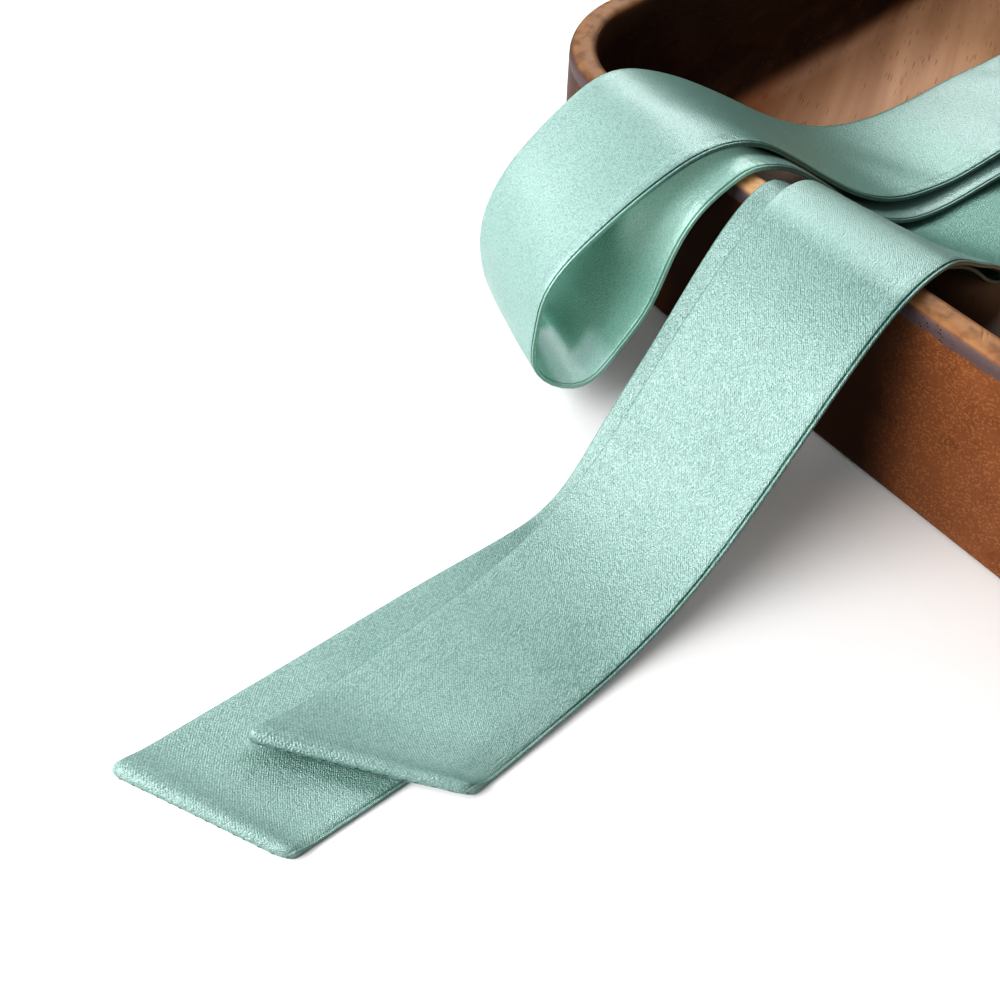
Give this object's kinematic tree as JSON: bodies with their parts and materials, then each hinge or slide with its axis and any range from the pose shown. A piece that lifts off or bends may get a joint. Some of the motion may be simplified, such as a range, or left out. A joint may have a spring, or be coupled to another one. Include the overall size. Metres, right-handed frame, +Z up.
{
  "type": "skinny scarf draped over a wooden tray",
  "caption": "Long narrow satin tube scarf laid doubled over the wall of a round-cornered carved wooden tray, with a hanging loop and two slanted tails.",
  "frame": {"origin": "on the table, under the middle of the whole part's bounding box", "axes": "+X along the tray's front wall, +Y from the tails towards the tray's back wall, +Z up from the table"},
  "size_m": [0.32, 0.5282, 0.0793],
  "materials": {
    "satin": "soft mint satin with a fine pebbled grain, sewn as a tube, turned and pressed flat",
    "wood": "carved hardwood, oiled dark brown, with the rim sanded back to tan"
  },
  "bodies": {
    "root": {"tray": "wood", "lower_tail": "satin", "upper_tail": "satin", "loop_top": "satin", "loop_back": "satin", "outer_turn": "satin", "inner_turn": "satin"}
  },
  "joints": []
}
